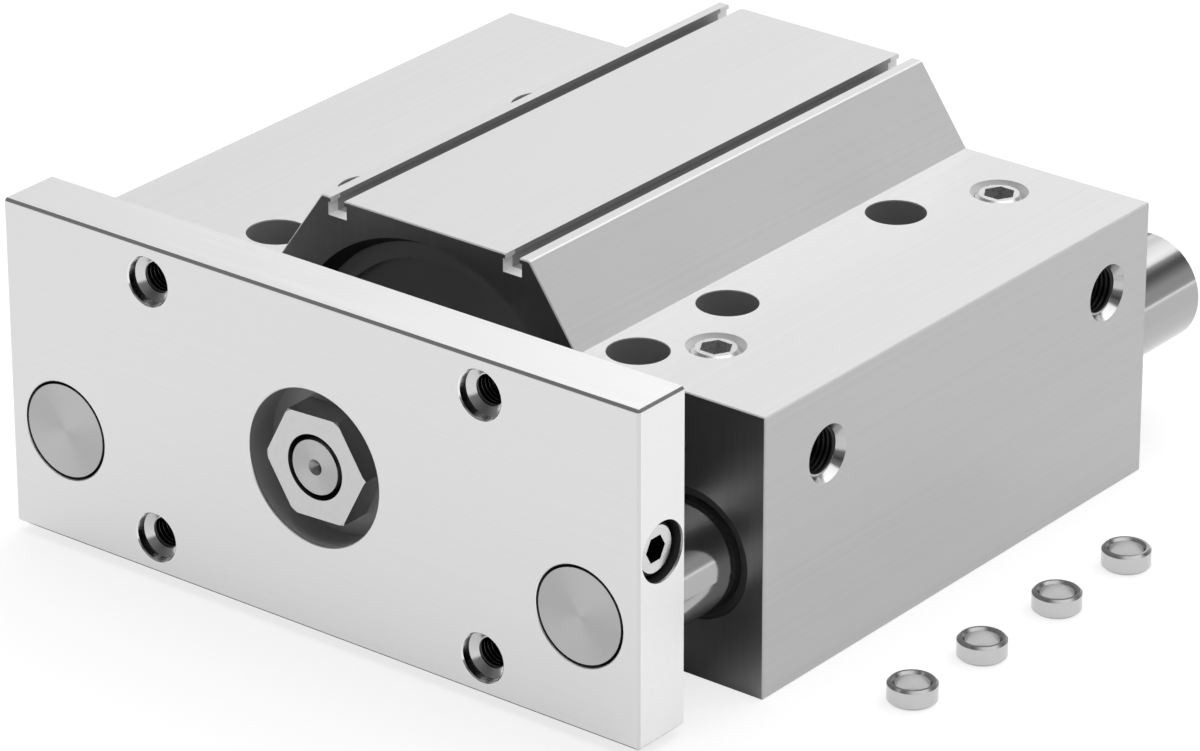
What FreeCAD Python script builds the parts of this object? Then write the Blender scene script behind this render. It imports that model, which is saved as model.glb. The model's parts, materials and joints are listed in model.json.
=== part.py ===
"""Guided pneumatic cylinder, retracted, in millimetres.

+Z is up, +X is the side with the air ports, and the yoke plate faces -Y.
The origin is the centre of the housing's base face.
"""
import FreeCAD, Part
import math
import os

from FreeCAD import Vector

RIGHT = Vector(1, 0, 0)
REAR = Vector(0, 1, 0)
FRONT = Vector(0, -1, 0)
UP = Vector(0, 0, 1)
DOWN = Vector(0, 0, -1)
SIDES = {"left": -1, "right": 1}
TINY = 0.001

# Driving dimensions

STROKE = 80.0
BORE_DIAMETER = 80.0
PISTON_ROD_DIAMETER = 25.0
GUIDE_ROD_DIAMETER = 28.0

# Clearances
FIXED_CLEARANCE = 0.02
RUNNING_CLEARANCE = 0.04
STOP_CLEARANCE = 0.25
THREAD_CLEARANCE = 0.05
PISTON_CLEARANCE = 0.4

# Walls of the housing
BASE_WALL = 2.7
BARREL_ROOF = 4.1
BARREL_FOOT_WALL = 2.8
GUIDE_FLOOR = 14.9
GUIDE_SIDE_WALL = 4.6
GUIDE_TO_HOLE_WALL = 2.3
CHANNEL_FLOOR = 2.2
PLUG_FLOOR = 3.4
HOUSING_EDGE_CHAMFER = 0.3

# Sensor slots along the barrel
SLOT_SPACING = 52.6
SLOT_MOUTH_WIDTH = 4.2
SLOT_LIP = 1.2
SLOT_CAVITY_WIDTH = 5.6
SLOT_CAVITY_DEPTH = 3.4
SLOT_SIDE_WALL = 2.1

# Mounting holes through the guide blocks
HOLE_DIAMETER = 9.0
HOLE_HEAD_DIAMETER = 15.0
HOLE_HEAD_DEPTH = 9.0
HOLE_TO_BARREL_WALL = 2.1
HOLE_ROW_FRONT = 10.6
HOLE_ROW_MIDDLE = 44.3
HOLE_ROW_REAR = 42.6

# Air ports and their plugs
PORT_DIAMETER = 11.8
PORT_DEPTH = 12.0
PORT_MOUTH_RISE = 1.3
PORT_MOUTH_DEPTH = 2.2
CHANNEL_DIAMETER = 7.0
PLUG_FROM_GUIDE = 11.1
PLUG_LENGTH = 9.5
PLUG_RECESS = 0.4
PLUG_HOLE_ROOM = 1.1
PLUG_CHAMFER = 0.9
PLUG_SOCKET_ACROSS = 7.0
PLUG_SOCKET_DEPTH = 5.0

# Lead-in cones and retaining rings at both ends of the bore
LEAD_IN_RISE = 2.2
LEAD_IN_LENGTH = 4.0
RING_LAND = 1.0
RING_THICKNESS = 2.5
RING_GROOVE_PLAY = 0.15
RING_GROOVE_DEPTH = 1.75
RING_WIDTH = 4.4
RING_GAP = 16.0
RING_LUG_RADIUS = 4.6
RING_LUG_HOLE = 3.0

# Bearing cap in front and end cap behind
BEARING_FLANGE_LENGTH = 12.35
END_FLANGE_LENGTH = 5.35
CAP_NOSE_LENGTH = 8.0
CAP_NOSE_RIM = 3.0
O_RING_CORD = 2.2
O_RING_GROOVE_PLAY = 0.5
CUSHION_WIDTH = 8.0
CUSHION_THICKNESS = 3.5
CUSHION_PROUD = 1.5
CUSHION_FROM_BUSH = 4.5
ROD_BUSH_WALL = 2.0
ROD_SEAL_WIDTH = 5.0
ROD_SEAL_LENGTH = 6.0
CENTRE_MARK_DIAMETER = 4.0
CENTRE_MARK_DEPTH = 2.0

# Piston
PISTON_SEAL_LENGTH = 3.6
PISTON_SEAL_DEPTH = 3.4
PISTON_SEAL_SETBACK = 2.2
PISTON_LAND = 1.2
WEAR_BAND_LENGTH = 7.0
WEAR_BAND_DEPTH = 1.6
MAGNET_LENGTH = 5.0
MAGNET_WIDTH = 6.0
PISTON_NUT_ROOM = 1.15
SPIGOT_O_RING_SETBACK = 3.0

# Threaded ends of the piston rod and their nuts
SPIGOT_DIAMETER = 16.0
SPIGOT_TIP_DROP = 1.2
SPIGOT_TIP_LENGTH = 2.0
NUT_ACROSS = 26.0
NUT_THICKNESS = 8.0
NUT_CORNER_BREAK = 0.6
NUT_CHAMFER_ANGLE = 30.0
NUT_MOUTH_RISE = 0.15
NUT_MOUTH_DEPTH = 1.2
NUT_TURN = -2.5
PISTON_ROD_CHAMFER = 1.0

# Guide rods, their bushes and wipers
GUIDE_SHOULDER = 1.5
GUIDE_BUSH_WALL = 2.5
GUIDE_BUSH_LENGTH = 30.0
GUIDE_BUSH_SPACING = 39.0
GUIDE_OVERRUN = 4.0
GUIDE_RELIEF = 1.0
GUIDE_ROD_CHAMFER = 0.8
GUIDE_TIP_DROP = 0.7
GUIDE_TIP_LENGTH = 1.2
GUIDE_ROD_RECESS = 0.15
WIPER_RECESS = 0.3
WIPER_LENGTH = 5.5
WIPER_LIP = 0.5

# Yoke plate
YOKE_GAP = 23.7
YOKE_SIDE_MARGIN = 4.6
YOKE_BOLT_SPACING_X = 99.5
YOKE_BOLT_SPACING_Z = 66.2
YOKE_BOLT_MARGIN = 9.25
YOKE_THREAD_DIAMETER = 8.0
YOKE_CHAMFER = 0.7
YOKE_HOLE_CHAMFER = 0.2
YOKE_NUT_ROOM = 4.6
YOKE_NUT_SINK = 0.6
SPIGOT_HOLE_CLEARANCE = 0.25

# Sideways clamp for each guide rod
CLAMP_PLATE_WALL = 1.0
CLAMP_BITE = 1.8
CLAMP_HEAD_SINK = 2.0
CLAMP_SLEEVE_GAP = 2.0
CLAMP_NUT_LENGTH = 14.0
CLAMP_NUT_ROOM = 2.0
CLAMP_SCREW_DIAMETER = 8.0
CLAMP_HEAD_DIAMETER = 13.0
CLAMP_HEAD_ROOM = 1.0
CLAMP_HEAD_LENGTH = 8.0
CLAMP_HEAD_CHAMFER = 0.8
CLAMP_SOCKET_ACROSS = 6.0
CLAMP_SOCKET_DEPTH = 4.0
CLAMP_SOCKET_TURN = 30.0

# Loose centring sleeves, lying in a row on the floor
SLEEVE_DIAMETER = 12.0
SLEEVE_BORE = 8.4
SLEEVE_HEIGHT = 5.0
SLEEVE_CHAMFER = 0.6
SLEEVE_SEAT_CLEARANCE = 0.02
SLEEVE_SEAT_DEPTH = 2.5
SLEEVE_SEAT_CHAMFER = 0.3
SLEEVE_SEAT_CONE_ANGLE = 118.0
SLEEVE_FROM_HOUSING = 26.6
SLEEVE_ROW = (21.6, 49.1, 79.4, 108.3)

# Sizes that follow from the driving dimensions

bore_radius = BORE_DIAMETER / 2
mouth_radius = bore_radius + LEAD_IN_RISE
rod_radius = PISTON_ROD_DIAMETER / 2
guide_rod_radius = GUIDE_ROD_DIAMETER / 2
guide_end_radius = guide_rod_radius - GUIDE_SHOULDER
spigot_radius = SPIGOT_DIAMETER / 2
nut_corner = NUT_ACROSS / 2 / math.cos(math.radians(30))
guide_bore_radius = guide_rod_radius + GUIDE_BUSH_WALL
port_radius = PORT_DIAMETER / 2
channel_radius = CHANNEL_DIAMETER / 2
ring_setback = LEAD_IN_LENGTH + RING_LAND
ring_groove_length = RING_THICKNESS + RING_GROOVE_PLAY
ring_groove_radius = bore_radius + RING_GROOVE_DEPTH

# Places across the housing
bore_axis_z = BASE_WALL + mouth_radius
barrel_height = bore_axis_z + mouth_radius + BARREL_ROOF
barrel_foot_x = mouth_radius + BARREL_FOOT_WALL
barrel_top_x = SLOT_SPACING / 2 + SLOT_CAVITY_WIDTH / 2 + SLOT_SIDE_WALL
hole_x = barrel_foot_x + HOLE_TO_BARREL_WALL + HOLE_HEAD_DIAMETER / 2
guide_x = hole_x + HOLE_DIAMETER / 2 + GUIDE_TO_HOLE_WALL + guide_bore_radius
guide_z = GUIDE_FLOOR + guide_bore_radius
side_x = guide_x + guide_bore_radius + GUIDE_SIDE_WALL
port_z = guide_z + guide_bore_radius + CHANNEL_FLOOR + channel_radius
plug_hole_depth = PLUG_RECESS + PLUG_LENGTH + PLUG_HOLE_ROOM
block_height = port_z + channel_radius + PLUG_FLOOR + plug_hole_depth
plug_x = guide_x - PLUG_FROM_GUIDE

# Depths behind the housing's front face, in order
piston_length = 2 * (PISTON_SEAL_SETBACK + PISTON_SEAL_LENGTH + PISTON_LAND) + WEAR_BAND_LENGTH
bearing_front = ring_setback + ring_groove_length
bearing_nose = bearing_front + BEARING_FLANGE_LENGTH
bearing_rear = bearing_nose + CAP_NOSE_LENGTH
piston_front = bearing_rear + CUSHION_PROUD + STOP_CLEARANCE + STROKE
piston_rear = piston_front + piston_length
end_front = piston_rear + STOP_CLEARANCE + CUSHION_PROUD
end_flange = end_front + CAP_NOSE_LENGTH
end_rear = end_flange + END_FLANGE_LENGTH
housing_length = end_rear + ring_groove_length + ring_setback
front_port = bearing_nose + CAP_NOSE_LENGTH / 2
rear_port = end_front + CAP_NOSE_LENGTH / 2
hole_rows = (HOLE_ROW_FRONT, HOLE_ROW_MIDDLE, housing_length - HOLE_ROW_REAR)
wiper_rear = WIPER_RECESS + WIPER_LENGTH
rear_bush_front = wiper_rear + GUIDE_BUSH_LENGTH + GUIDE_BUSH_SPACING
rear_bush_rear = rear_bush_front + GUIDE_BUSH_LENGTH
guide_rod_rear = rear_bush_rear + GUIDE_OVERRUN + STROKE

# Yoke plate
clamp_radius = CLAMP_HEAD_DIAMETER / 2 + CLAMP_HEAD_ROOM
yoke_thickness = 2 * (clamp_radius + CLAMP_PLATE_WALL)
yoke_back = -YOKE_GAP
yoke_front = yoke_back - yoke_thickness
yoke_middle = (yoke_back + yoke_front) / 2
yoke_half_width = guide_x + guide_end_radius + YOKE_SIDE_MARGIN
yoke_half_height = YOKE_BOLT_SPACING_Z / 2 + YOKE_BOLT_MARGIN
nut_front = yoke_front + YOKE_NUT_SINK
nut_rear = nut_front + NUT_THICKNESS
yoke_nut_hole = nut_corner + YOKE_NUT_ROOM
clamp_z = guide_z + guide_end_radius + clamp_radius - CLAMP_BITE
clamp_head_x = yoke_half_width - CLAMP_HEAD_SINK
clamp_seat_x = clamp_head_x - CLAMP_HEAD_LENGTH
clamp_nut_x = guide_x - CLAMP_SLEEVE_GAP / 2
clamp_end_x = clamp_nut_x - CLAMP_NUT_LENGTH
sleeve_seat_radius = SLEEVE_DIAMETER / 2 + SLEEVE_SEAT_CLEARANCE
yoke_thread_radius = YOKE_THREAD_DIAMETER / 2
seat_cone_slope = math.tan(math.radians(SLEEVE_SEAT_CONE_ANGLE / 2))
seat_cone_depth = (sleeve_seat_radius - yoke_thread_radius) / seat_cone_slope
yoke_thread_depth = SLEEVE_SEAT_DEPTH + seat_cone_depth

# Caps and piston
bush_radius = rod_radius + ROD_BUSH_WALL
cushion_inner = bush_radius + CUSHION_FROM_BUSH
cushion_outer = cushion_inner + CUSHION_WIDTH
cap_nose_radius = cushion_outer + CAP_NOSE_RIM
cap_radius = bore_radius - FIXED_CLEARANCE
cushion_seat = CUSHION_THICKNESS - CUSHION_PROUD
o_ring_groove = O_RING_CORD + O_RING_GROOVE_PLAY
piston_radius = bore_radius - PISTON_CLEARANCE
piston_middle = (piston_front + piston_rear) / 2
piston_nut_front = piston_rear - NUT_THICKNESS - YOKE_NUT_SINK
magnet_outer = piston_radius - WEAR_BAND_DEPTH


def at(x, depth, z):
    """Point at a depth behind the housing's front face."""
    return Vector(x, depth - housing_length / 2, z)


def on_bore(depth):
    """Point on the bore's axis."""
    return at(0, depth, bore_axis_z)


def on_guide(side, depth):
    """Point on a guide rod's axis."""
    return at(SIDES[side] * guide_x, depth, guide_z)


def cylinder(radius, start, length, direction):
    return Part.makeCylinder(radius, length, start, direction)


def turned(outline, start, direction):
    """Spin a closed outline of (radius, distance) points about a line from start along direction."""
    points = [Vector(radius, 0, distance) for radius, distance in outline]
    face = Part.Face(Part.makePolygon(points + points[:1]))
    solid = face.revolve(Vector(0, 0, 0), UP, 360)
    solid.Placement = FreeCAD.Placement(start, FreeCAD.Rotation(UP, direction))
    return solid


def ring(outer, inner, length, start, direction):
    """Plain ring with square edges."""
    return turned([(inner, 0), (outer, 0), (outer, length), (inner, length)], start, direction)


def chamfered_ring(outer, inner, length, chamfer, start, direction):
    """Ring with its four edges chamfered."""
    outline = [(inner + chamfer, 0), (outer - chamfer, 0), (outer, chamfer), (outer, length - chamfer),
               (outer - chamfer, length), (inner + chamfer, length), (inner, length - chamfer),
               (inner, chamfer)]
    return turned(outline, start, direction)


def hexagon(across, length, start, direction, turn=0.0):
    """Hexagonal prism, its corners on the local X axis before the turn."""
    corner = across / 2 / math.cos(math.radians(30))
    angles = [math.radians(60 * step + turn) for step in range(6)]
    points = [Vector(corner * math.cos(angle), corner * math.sin(angle), 0) for angle in angles]
    prism = Part.Face(Part.makePolygon(points + points[:1])).extrude(Vector(0, 0, length))
    prism.Placement = FreeCAD.Placement(start, FreeCAD.Rotation(UP, direction))
    return prism


def is_inner_corner(edge):
    """Whether an edge is where a guide block meets the barrel's slanted side."""
    middle = edge.CenterOfMass
    return abs(abs(middle.x) - barrel_foot_x) < TINY and abs(middle.z - block_height) < TINY


def housing_profile():
    """Outer shape of the extrusion, with its long edges and end edges broken."""
    corners = [(side_x, 0), (side_x, block_height), (barrel_foot_x, block_height),
               (barrel_top_x, barrel_height)]
    mirrored = [(-x, z) for x, z in reversed(corners)]
    points = [at(x, 0, z) for x, z in corners + mirrored]
    solid = Part.Face(Part.makePolygon(points + points[:1])).extrude(Vector(0, housing_length, 0))
    broken = [edge for edge in solid.Edges if not is_inner_corner(edge)]
    return solid.makeChamfer(HOUSING_EDGE_CHAMFER, broken)


def sensor_slot(side):
    """T-shaped slot that opens on the barrel's top."""
    centre = SIDES[side] * SLOT_SPACING / 2
    lip_z = barrel_height - SLOT_LIP
    mouth = Part.makeBox(SLOT_MOUTH_WIDTH, housing_length, SLOT_LIP,
                         at(centre - SLOT_MOUTH_WIDTH / 2, 0, lip_z))
    cavity = Part.makeBox(SLOT_CAVITY_WIDTH, housing_length, SLOT_CAVITY_DEPTH,
                          at(centre - SLOT_CAVITY_WIDTH / 2, 0, lip_z - SLOT_CAVITY_DEPTH))
    return mouth.fuse(cavity)


def piston_bore():
    """Bore with a lead-in cone and a retaining ring groove at each end."""
    half = [(mouth_radius, 0), (bore_radius, LEAD_IN_LENGTH), (bore_radius, ring_setback),
            (ring_groove_radius, ring_setback), (ring_groove_radius, bearing_front),
            (bore_radius, bearing_front)]
    far_half = [(radius, housing_length - depth) for radius, depth in reversed(half)]
    return turned([(0, 0)] + half + far_half + [(0, housing_length)], on_bore(0), REAR)


def guide_bore(side):
    """Bush bore from the front, then a relief that clears the rod."""
    bush = cylinder(guide_bore_radius, on_guide(side, 0), rear_bush_rear, REAR)
    relief = cylinder(guide_rod_radius + GUIDE_RELIEF, on_guide(side, 0), housing_length, REAR)
    return bush.fuse(relief)


def mounting_hole(x, depth):
    """Through hole with a counterbore for a screw head."""
    shank = HOLE_DIAMETER / 2
    head = HOLE_HEAD_DIAMETER / 2
    seat = block_height - HOLE_HEAD_DEPTH
    outline = [(0, 0), (shank, 0), (shank, seat), (head, seat), (head, block_height), (0, block_height)]
    return turned(outline, at(x, depth, 0), UP)


def tapped_port(mouth, direction, depth):
    """Tapped hole with a countersunk mouth, running from the mouth along direction."""
    outline = [(0, 0), (port_radius + PORT_MOUTH_RISE, 0), (port_radius, PORT_MOUTH_DEPTH),
               (port_radius, depth), (0, depth)]
    return turned(outline, mouth, direction)


def air_passage(depth):
    """Side port, plugged top port and the channels that join them to the bore."""
    side_port = tapped_port(at(side_x, depth, port_z), Vector(-1, 0, 0), PORT_DEPTH)
    top_port = tapped_port(at(plug_x, depth, block_height), DOWN, plug_hole_depth)
    across = cylinder(channel_radius, on_bore(depth) + Vector(0, 0, port_z - bore_axis_z), side_x, RIGHT)
    drop = cylinder(channel_radius, at(plug_x, depth, port_z), block_height - port_z, UP)
    return side_port.multiFuse([top_port, across, drop])


def housing():
    cuts = [piston_bore(), air_passage(front_port), air_passage(rear_port)]
    for side, sign in SIDES.items():
        cuts.append(sensor_slot(side))
        cuts.append(guide_bore(side))
        cuts += [mounting_hole(sign * hole_x, depth) for depth in hole_rows]
    return housing_profile().cut(cuts)


def retaining_ring(depth):
    """Open ring with two eared ends for pliers, its gap at the bottom."""
    start = on_bore(depth)
    outer = ring_groove_radius - RING_GROOVE_PLAY
    inner = bore_radius - RING_WIDTH
    band = ring(outer, inner, RING_THICKNESS, start, REAR)
    lug_x = RING_GAP / 2 + RING_LUG_RADIUS
    lug_centres = [start + Vector(sign * lug_x, 0, -inner) for sign in SIDES.values()]
    lugs = [cylinder(RING_LUG_RADIUS, centre, RING_THICKNESS, REAR) for centre in lug_centres]
    gap = Part.makeBox(RING_GAP, RING_THICKNESS, outer, start + Vector(-RING_GAP / 2, 0, -outer))
    holes = [cylinder(RING_LUG_HOLE / 2, centre, RING_THICKNESS, REAR) for centre in lug_centres]
    rim = cylinder(outer, start, RING_THICKNESS, REAR)
    return band.multiFuse(lugs).common(rim).cut([gap] + holes).removeSplitter()


def cap_o_ring(depth):
    """Cord ring between a cap's groove and the bore."""
    cord_radius = O_RING_CORD / 2
    return Part.makeTorus(bore_radius - cord_radius - FIXED_CLEARANCE, cord_radius, on_bore(depth), REAR)


def cap_o_ring_groove(depth):
    start = on_bore(depth - o_ring_groove / 2)
    return ring(bore_radius, bore_radius - O_RING_CORD - 2 * FIXED_CLEARANCE, o_ring_groove, start, REAR)


def cushion_groove(depth):
    return ring(cushion_outer, cushion_inner, cushion_seat, on_bore(depth), REAR)


def cushion_ring(depth):
    """Elastic stop for the piston, seated in a cap's nose."""
    outer = cushion_outer - FIXED_CLEARANCE
    return ring(outer, cushion_inner + FIXED_CLEARANCE, CUSHION_THICKNESS, on_bore(depth), REAR)


def bearing_cap():
    """Front cap that carries the rod's seal and bush."""
    seal_radius = rod_radius + ROD_SEAL_WIDTH
    flange = BEARING_FLANGE_LENGTH
    length = flange + CAP_NOSE_LENGTH
    outline = [(seal_radius, 0), (cap_radius, 0), (cap_radius, flange), (cap_nose_radius, flange),
               (cap_nose_radius, length), (bush_radius, length), (bush_radius, ROD_SEAL_LENGTH),
               (seal_radius, ROD_SEAL_LENGTH)]
    body = turned(outline, on_bore(bearing_front), REAR)
    o_ring_depth = bearing_front + flange / 2
    return body.cut([cap_o_ring_groove(o_ring_depth), cushion_groove(bearing_rear - cushion_seat)])


def rod_seal():
    """Lip seal and wiper in the bearing cap, with a scraping lip in front."""
    outer = rod_radius + ROD_SEAL_WIDTH - FIXED_CLEARANCE
    inner = rod_radius + RUNNING_CLEARANCE
    outline = [(inner, 0), (outer - ROD_SEAL_WIDTH / 2, ROD_SEAL_LENGTH / 4), (outer, ROD_SEAL_LENGTH / 4),
               (outer, ROD_SEAL_LENGTH), (inner, ROD_SEAL_LENGTH)]
    return turned(outline, on_bore(bearing_front), REAR)


def rod_bush():
    start = bearing_front + ROD_SEAL_LENGTH
    outer = bush_radius - FIXED_CLEARANCE
    return ring(outer, rod_radius + RUNNING_CLEARANCE, bearing_rear - start, on_bore(start), REAR)


def end_cap():
    """Rear cap, a plain disc with a nose and a centre mark."""
    nose = CAP_NOSE_LENGTH
    length = nose + END_FLANGE_LENGTH
    outline = [(0, 0), (cap_nose_radius, 0), (cap_nose_radius, nose), (cap_radius, nose),
               (cap_radius, length), (CENTRE_MARK_DIAMETER / 2, length), (0, length - CENTRE_MARK_DEPTH)]
    body = turned(outline, on_bore(end_front), REAR)
    return body.cut([cap_o_ring_groove(end_flange + END_FLANGE_LENGTH / 2), cushion_groove(end_front)])


def piston_half(front_depth, seal_depth):
    """Half of the piston, with its seal groove and its share of the band and magnet grooves."""
    half_length = piston_length / 2
    body = ring(piston_radius, spigot_radius + FIXED_CLEARANCE, half_length, on_bore(front_depth), REAR)
    seal_groove = ring(piston_radius, bore_radius - PISTON_SEAL_DEPTH, PISTON_SEAL_LENGTH,
                       on_bore(seal_depth), REAR)
    band_groove = ring(piston_radius, magnet_outer, WEAR_BAND_LENGTH,
                       on_bore(piston_middle - WEAR_BAND_LENGTH / 2), REAR)
    magnet_groove = ring(magnet_outer, magnet_outer - MAGNET_WIDTH, MAGNET_LENGTH,
                         on_bore(piston_middle - MAGNET_LENGTH / 2), REAR)
    return body.cut([seal_groove, band_groove, magnet_groove])


front_seal_depth = piston_front + PISTON_SEAL_SETBACK
rear_seal_depth = piston_rear - PISTON_SEAL_SETBACK - PISTON_SEAL_LENGTH
spigot_o_ring_depth = piston_front + SPIGOT_O_RING_SETBACK


def piston_front_half():
    groove = ring(spigot_radius + O_RING_CORD + 2 * FIXED_CLEARANCE, spigot_radius, o_ring_groove,
                  on_bore(spigot_o_ring_depth - o_ring_groove / 2), REAR)
    return piston_half(piston_front, front_seal_depth).cut(groove)


def piston_rear_half():
    recess_length = piston_rear - piston_nut_front
    recess = cylinder(nut_corner + PISTON_NUT_ROOM, on_bore(piston_nut_front), recess_length, REAR)
    return piston_half(piston_middle, rear_seal_depth).cut(recess)


def spigot_o_ring():
    """Cord ring that seals the piston on its rod."""
    return Part.makeTorus(spigot_radius + O_RING_CORD / 2 + FIXED_CLEARANCE, O_RING_CORD / 2,
                          on_bore(spigot_o_ring_depth), REAR)


def piston_seal(depth):
    """Lip seal that bears on the bore."""
    inner = bore_radius - PISTON_SEAL_DEPTH + FIXED_CLEARANCE
    return ring(bore_radius - RUNNING_CLEARANCE, inner, PISTON_SEAL_LENGTH, on_bore(depth), REAR)


def wear_band():
    inner = magnet_outer + FIXED_CLEARANCE
    start = on_bore(piston_middle - WEAR_BAND_LENGTH / 2)
    return ring(bore_radius - RUNNING_CLEARANCE, inner, WEAR_BAND_LENGTH, start, REAR)


def magnet_ring():
    inner = magnet_outer - MAGNET_WIDTH + FIXED_CLEARANCE
    return ring(magnet_outer, inner, MAGNET_LENGTH, on_bore(piston_middle - MAGNET_LENGTH / 2), REAR)


def hex_nut(front, direction, turn):
    """Nut with lightly broken corners on its front face, and countersunk thread mouths."""
    slope = NUT_CORNER_BREAK * math.tan(math.radians(NUT_CHAMFER_ANGLE))
    hole = spigot_radius + THREAD_CLEARANCE
    mouth = hole + NUT_MOUTH_RISE
    outline = [(mouth, 0), (nut_corner - NUT_CORNER_BREAK, 0), (nut_corner, slope),
               (nut_corner, NUT_THICKNESS), (mouth, NUT_THICKNESS),
               (hole, NUT_THICKNESS - NUT_MOUTH_DEPTH), (hole, NUT_MOUTH_DEPTH)]
    prism = hexagon(NUT_ACROSS, NUT_THICKNESS, front, direction, turn)
    return prism.common(turned(outline, front, direction))


def piston_rod():
    """Rod with a threaded spigot at each end, for the yoke plate and for the piston."""
    start = nut_front
    shoulder = yoke_back - start
    piston_shoulder = piston_front - start
    length = piston_rear - YOKE_NUT_SINK - start
    mark = CENTRE_MARK_DIAMETER / 2
    tip = spigot_radius - SPIGOT_TIP_DROP
    outline = [(0, CENTRE_MARK_DEPTH), (mark, 0), (tip, 0), (spigot_radius, SPIGOT_TIP_LENGTH),
               (spigot_radius, shoulder), (rod_radius - PISTON_ROD_CHAMFER, shoulder),
               (rod_radius, shoulder + PISTON_ROD_CHAMFER), (rod_radius, piston_shoulder),
               (spigot_radius, piston_shoulder), (spigot_radius, length - SPIGOT_TIP_LENGTH), (tip, length),
               (0, length)]
    return turned(outline, on_bore(start), REAR)


def guide_rod(side):
    """Ground rod with a shoulder against the yoke plate, its end flush with the plate's front."""
    start = yoke_front + GUIDE_ROD_RECESS
    shoulder = yoke_back - start
    length = guide_rod_rear - start
    rod_edge = guide_rod_radius - GUIDE_ROD_CHAMFER
    outline = [(0, 0), (guide_end_radius - GUIDE_TIP_DROP, 0), (guide_end_radius, GUIDE_TIP_LENGTH),
               (guide_end_radius, shoulder), (rod_edge, shoulder),
               (guide_rod_radius, shoulder + GUIDE_ROD_CHAMFER),
               (guide_rod_radius, length - GUIDE_ROD_CHAMFER), (rod_edge, length), (0, length)]
    return turned(outline, on_guide(side, start), REAR)


def guide_bush(side, depth):
    """Plain bearing bush for a guide rod."""
    outer = guide_bore_radius - FIXED_CLEARANCE
    inner = guide_rod_radius + RUNNING_CLEARANCE
    return ring(outer, inner, GUIDE_BUSH_LENGTH, on_guide(side, depth), REAR)


def guide_wiper(side):
    """Wiper ring whose face slopes back to its lip on the rod."""
    outer = guide_bore_radius - FIXED_CLEARANCE
    inner = guide_rod_radius + RUNNING_CLEARANCE
    outline = [(inner, WIPER_LIP), (outer - GUIDE_BUSH_WALL / 2, 0), (outer, 0), (outer, WIPER_LENGTH),
               (inner, WIPER_LENGTH)]
    return turned(outline, on_guide(side, WIPER_RECESS), REAR)


def yoke_bolt_hole(x, z):
    """Tapped hole through the plate, opening in a sleeve seat with a drilled cone for its floor."""
    mouth = sleeve_seat_radius + SLEEVE_SEAT_CHAMFER
    outline = [(0, 0), (mouth, 0), (sleeve_seat_radius, SLEEVE_SEAT_CHAMFER),
               (sleeve_seat_radius, SLEEVE_SEAT_DEPTH), (yoke_thread_radius, yoke_thread_depth),
               (yoke_thread_radius, yoke_thickness), (0, yoke_thickness)]
    return turned(outline, at(x, yoke_front, bore_axis_z + z), REAR)


def yoke_centre_hole():
    """Hole for the rod's spigot, with a counterbore for the nut."""
    spigot_hole = spigot_radius + SPIGOT_HOLE_CLEARANCE
    floor = nut_rear - yoke_front
    outline = [(0, 0), (yoke_nut_hole + YOKE_HOLE_CHAMFER, 0), (yoke_nut_hole, YOKE_HOLE_CHAMFER),
               (yoke_nut_hole, floor), (spigot_hole, floor), (spigot_hole, yoke_thickness),
               (0, yoke_thickness)]
    return turned(outline, on_bore(yoke_front), REAR)


def yoke_guide_hole(side):
    """Hole that a guide rod's end is clamped in."""
    fit = guide_end_radius + FIXED_CLEARANCE
    outline = [(0, 0), (fit + YOKE_HOLE_CHAMFER, 0), (fit, YOKE_HOLE_CHAMFER), (fit, yoke_thickness),
               (0, yoke_thickness)]
    return turned(outline, on_guide(side, yoke_front), REAR)


def on_clamp(side, x):
    """Point on a clamp screw's axis."""
    return at(SIDES[side] * x, yoke_middle, clamp_z)


def inwards(side):
    return Vector(-SIDES[side], 0, 0)


def clamp_hole(side):
    """Blind hole from the plate's side that crosses the guide rod's hole."""
    length = yoke_half_width - clamp_end_x + CLAMP_NUT_ROOM
    return cylinder(clamp_radius, on_clamp(side, yoke_half_width), length, inwards(side))


def yoke_plate():
    corner = at(-yoke_half_width, yoke_front, bore_axis_z - yoke_half_height)
    blank = Part.makeBox(2 * yoke_half_width, yoke_thickness, 2 * yoke_half_height, corner)
    blank = blank.makeChamfer(YOKE_CHAMFER, blank.Edges)
    cuts = [yoke_centre_hole()]
    for side, sign in SIDES.items():
        cuts += [yoke_guide_hole(side), clamp_hole(side)]
        for height in (-YOKE_BOLT_SPACING_Z / 2, YOKE_BOLT_SPACING_Z / 2):
            cuts.append(yoke_bolt_hole(sign * YOKE_BOLT_SPACING_X / 2, height))
    return blank.cut(cuts)


def clamp_screw(side):
    """Socket head screw, its head sunk below the plate's side."""
    head = CLAMP_HEAD_DIAMETER / 2
    shank = CLAMP_SCREW_DIAMETER / 2
    length = clamp_head_x - clamp_end_x
    outline = [(0, 0), (head - CLAMP_HEAD_CHAMFER, 0), (head, CLAMP_HEAD_CHAMFER),
               (head, CLAMP_HEAD_LENGTH), (shank, CLAMP_HEAD_LENGTH), (shank, length), (0, length)]
    start = on_clamp(side, clamp_head_x)
    socket = hexagon(CLAMP_SOCKET_ACROSS, CLAMP_SOCKET_DEPTH, start, inwards(side), CLAMP_SOCKET_TURN)
    return turned(outline, start, inwards(side)).cut(socket)


def clamp_piece(side, outer_x, inner_x):
    """Sleeve on the clamp screw, hollowed where it grips the guide rod."""
    hole = CLAMP_SCREW_DIAMETER / 2 + THREAD_CLEARANCE
    outer = clamp_radius - FIXED_CLEARANCE
    sleeve = ring(outer, hole, outer_x - inner_x, on_clamp(side, outer_x), inwards(side))
    rod = cylinder(guide_end_radius + FIXED_CLEARANCE, on_guide(side, yoke_front), yoke_thickness, REAR)
    return sleeve.cut(rod)


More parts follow.
